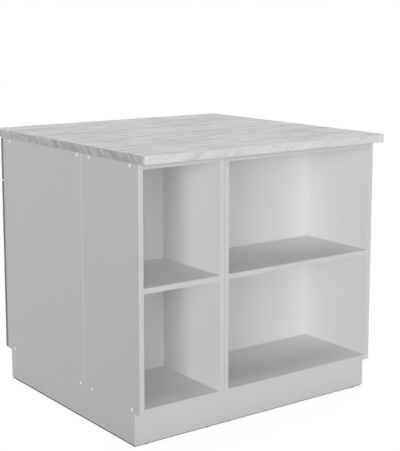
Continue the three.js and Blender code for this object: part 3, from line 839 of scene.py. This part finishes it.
# Screws of the drawer's rails, and the brackets that hold its front

RAIL_SCREWS_FROM_FRONT = [37 * MM, 133 * MM, 261 * MM, 389 * MM]
for side, inward in (("left", 1), ("right", -1)):
    rail = "drawer_rail_" + side
    low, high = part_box(rail)
    web = side_x(rail, -inward) + inward * DRAWER_SHEET
    places = [(web, low.y + reach, (low.z + high.z) / 2) for reach in RAIL_SCREWS_FROM_FRONT]
    screws(rail + "_screws", "cabinet", FLUSH_HEAD, (inward, 0, 0), places)

BRACKET_SHEET = 1.5 * MM
BRACKET_DEPTH = 26 * MM
BRACKET_WIDTH = 17 * MM
BRACKET_HEIGHT = 44 * MM
BRACKET_ARRIS = 0.3 * MM
BRACKET_ABOVE_BOTTOM = 8 * MM
BRACKET_SIDE_GAP = 0.25 * MM
BRACKET_FRONT_GAP = 0.05 * MM

# Places of its screws, as shares of its height, width and depth
BRACKET_SCREW_LEVELS = (0.25, 0.75)
BRACKET_SCREW_ACROSS = 0.6
BRACKET_SCREW_ALONG = 0.65


def drawer_bracket(side, inward):
    """An angle of sheet steel in the corner of the drawer's side and front, with four screws."""
    x0 = side_x("drawer_bottom", -inward) - inward * BRACKET_SIDE_GAP
    y0 = front_high.y + BRACKET_FRONT_GAP
    z0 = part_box("drawer_bottom")[1].z + BRACKET_ABOVE_BOTTOM
    plan = [
        (0, 0),
        (BRACKET_WIDTH, 0),
        (BRACKET_WIDTH, BRACKET_SHEET),
        (BRACKET_SHEET, BRACKET_SHEET),
        (BRACKET_SHEET, BRACKET_DEPTH),
        (0, BRACKET_DEPTH),
    ]
    bm = bmesh.new()
    foot = bm.faces.new([bm.verts.new((x0 + inward * x, y0 + y, z0)) for x, y in plan])
    grown = bmesh.ops.extrude_face_region(bm, geom=[foot])["geom"]
    risen = [v for v in grown if isinstance(v, bmesh.types.BMVert)]
    bmesh.ops.translate(bm, vec=(0, 0, BRACKET_HEIGHT), verts=risen)
    edges = list(bm.edges)
    bmesh.ops.bevel(bm, geom=edges, offset=BRACKET_ARRIS, segments=2, affect="EDGES")
    name = "drawer_bracket_" + side
    new_piece(name, mesh_from(bm, name), bracket_steel, "drawer")
    levels = [z0 + share * BRACKET_HEIGHT for share in BRACKET_SCREW_LEVELS]
    across = x0 + inward * BRACKET_SCREW_ACROSS * BRACKET_WIDTH
    along = y0 + BRACKET_SCREW_ALONG * BRACKET_DEPTH
    on_front = [(across, y0 + BRACKET_SHEET, z) for z in levels]
    on_side = [(x0 + inward * BRACKET_SHEET, along, z) for z in levels]
    screws(name + "_screws_front", "drawer", SMALL_HEAD, REAR, on_front)
    screws(name + "_screws_side", "drawer", SMALL_HEAD, (inward, 0, 0), on_side)


drawer_bracket("left", 1)
drawer_bracket("right", -1)

# Screws that hold the worktop from below, and those that join the two base cabinets

TOP_SCREW_INSET = 55 * MM
OPEN_TOP_ROWS = 60 * MM
worktop_screws = []
for name in NODES:
    low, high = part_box(name)
    if "_base_rail_" in name:
        rows = [(low.y + high.y) / 2]
    elif name.endswith("_open_top"):
        rows = [low.y + OPEN_TOP_ROWS, high.y - OPEN_TOP_ROWS]
    else:
        continue
    columns = (low.x + TOP_SCREW_INSET, high.x - TOP_SCREW_INSET)
    worktop_screws += [(x, y, low.z) for x in columns for y in rows]
screws("worktop_screws", "cabinet", HEAD, DOWN, worktop_screws)

JOINING_FROM_FRONT = 62 * MM
JOINING_LEVELS = [CARCASS_BOTTOM + 50 * MM, CARCASS_BOTTOM + 540 * MM]
for panel, inward in (("narrow_base_side_right", -1), ("wide_base_side_left", 1)):
    face = inner_face(panel, inward)
    places = [(face, FRONT_FACE + JOINING_FROM_FRONT, z) for z in JOINING_LEVELS]
    name = panel.replace("_side_", "_joining_screws_")
    screws(name, "cabinet", JOINING_HEAD, (inward, 0, 0), places)

# Floor

FLOOR_REACH = 14.0
# painted shadow under the plinth: how far inside the plinth's back face it ends, and its soft edge
SHADOW_BACK_INSET = 4.3 * MM
SHADOW_EDGE = (-3 * MM, 1 * MM)
FLOOR_GLOW = 0.93
FLOOR_SHOWN = 0.12
FLOOR_BOUNCE = 0.6

corners = [(-1, -1), (1, -1), (1, 1), (-1, 1)]
floor_mesh = bpy.data.meshes.new("floor")
floor_mesh.from_pydata([(FLOOR_REACH * x, FLOOR_REACH * y, 0) for x, y in corners], [], [range(4)])
floor = bpy.data.objects.new("floor", floor_mesh)
bpy.context.scene.collection.objects.link(floor)
floor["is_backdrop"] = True


def seen_directly(nodes, links):
    """1 for camera, glossy and transmission rays."""
    path = nodes.new("ShaderNodeLightPath")
    value = path.outputs["Is Camera Ray"]
    for key in ("Is Glossy Ray", "Is Transmission Ray"):
        larger = nodes.new("ShaderNodeMath")
        larger.operation = "MAXIMUM"
        links.new(value, larger.inputs[0])
        links.new(path.outputs[key], larger.inputs[1])
        value = larger.outputs[0]
    return value


def floor_material():
    """Pale floor. Seen straight or in a mirror it is white, less what the object shades.

    It doesn't glow under the plinth, up to a little inside the plinth's back face: a painted
    shadow.
    """
    g = Graph("studio_floor")
    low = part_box("plinth_front")[0]
    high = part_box("plinth_back_narrow")[1] - Vector((0, SHADOW_BACK_INSET, 0))
    middle = (low + high) / 2
    half = (high - low) / 2
    reach_x = g.math("SUBTRACT", g.distance(X, middle.x), half.x)
    reach_y = g.math("SUBTRACT", g.distance(Y, middle.y), half.y)
    outside_painted_shadow = g.step(g.math("MAXIMUM", reach_x, reach_y), *SHADOW_EDGE)
    strength = g.math("MULTIPLY", outside_painted_shadow, FLOOR_GLOW)
    glow = g.add("Emission", {"Color": (1, 1, 1, 1), "Strength": strength})
    plain = g.add("BsdfDiffuse", {"Color": (FLOOR_BOUNCE, FLOOR_BOUNCE, FLOOR_BOUNCE, 1)})
    shown = g.add("BsdfDiffuse", {"Color": (FLOOR_SHOWN, FLOOR_SHOWN, FLOOR_SHOWN, 1)})
    both = g.add("AddShader", {0: shown.outputs[0], 1: glow.outputs[0]})
    direct = seen_directly(g.nodes, g.links)
    mix = g.add("MixShader", {0: direct, 1: plain.outputs[0], 2: both.outputs[0]})
    g.links.new(mix.outputs[0], g.nodes["Material Output"].inputs[0])
    g.nodes.remove(g.shader)
    return g.material


floor_mesh.materials.append(floor_material())

# World: a faint sky for the object, and a white backdrop where it is seen directly

SKY_LEVEL = 0.04
world = bpy.data.worlds.new("studio")
bpy.context.scene.world = world
world.use_nodes = True
world_nodes = world.node_tree.nodes
world_links = world.node_tree.links
world_nodes.clear()
sky = world_nodes.new("ShaderNodeBackground")
sky.inputs["Strength"].default_value = SKY_LEVEL
backdrop = world_nodes.new("ShaderNodeBackground")
for background in (sky, backdrop):
    background.inputs["Color"].default_value = (1, 1, 1, 1)
choose = world_nodes.new("ShaderNodeMixShader")
world_out = world_nodes.new("ShaderNodeOutputWorld")
world_links.new(seen_directly(world_nodes, world_links), choose.inputs[0])
world_links.new(sky.outputs[0], choose.inputs[1])
world_links.new(backdrop.outputs[0], choose.inputs[2])
world_links.new(choose.outputs[0], world_out.inputs[0])

# Lamps: name, azimuth, elevation, strength and softness, with all angles in degrees

SUNS = [
    ("key_side", 128, 3, 1.54, 20),
    ("key_back", 140, 10, 0.18, 30),
    ("key_low", 160, 3, 0.55, 20),
    ("key_left", 220, 5, 0.70, 30),
    ("key_high", 150, 28, 0.39, 30),
    ("overhead", 0, 90, 1.10, 30),
    ("fill", 318, 8, 1.9, 40),
    ("front", 355, 6, 1.2, 30),
]


def sun(name, azimuth, elevation, strength, softness):
    """A far lamp; azimuth 0 stands at -Y and 90 at +X."""
    turn = math.radians(azimuth)
    rise = math.radians(elevation)
    level = math.cos(rise)
    lamp = bpy.data.lights.new(name, "SUN")
    lamp.energy = strength
    lamp.angle = math.radians(softness)
    obj = bpy.data.objects.new(name, lamp)
    back = Vector((math.sin(turn) * level, -math.cos(turn) * level, math.sin(rise)))
    obj.rotation_euler = back.to_track_quat("Z", "Y").to_euler()
    obj.visible_glossy = False
    bpy.context.scene.collection.objects.link(obj)


for row in SUNS:
    sun(*row)

# Camera, solved from the corners of the unit in the photo

PHOTO_HEIGHT = 451
FOCAL_PIXELS = 1110.1
HORIZON_SHIFT = -0.1
YAW = math.radians(36.4)
PITCH = math.radians(8.681)
CAMERA_PLACE = Vector((2.1048, 2.938, 1.2341))
SENSOR = 36.0
NEAREST = 0.05
FARTHEST = 60.0

camera_data = bpy.data.cameras.new("camera")
camera_data.sensor_width = SENSOR
camera_data.lens = SENSOR * FOCAL_PIXELS / PHOTO_HEIGHT
camera_data.shift_y = HORIZON_SHIFT
camera_data.clip_start = NEAREST
camera_data.clip_end = FARTHEST
camera = bpy.data.objects.new("camera", camera_data)
camera.location = CAMERA_PLACE
camera.rotation_euler = (math.pi / 2 - PITCH, 0, math.pi - YAW)
bpy.context.scene.collection.objects.link(camera)
bpy.context.scene.camera = camera

bpy.context.scene.view_settings.view_transform = "Standard"

bpy.context.view_layer.update()
low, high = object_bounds()
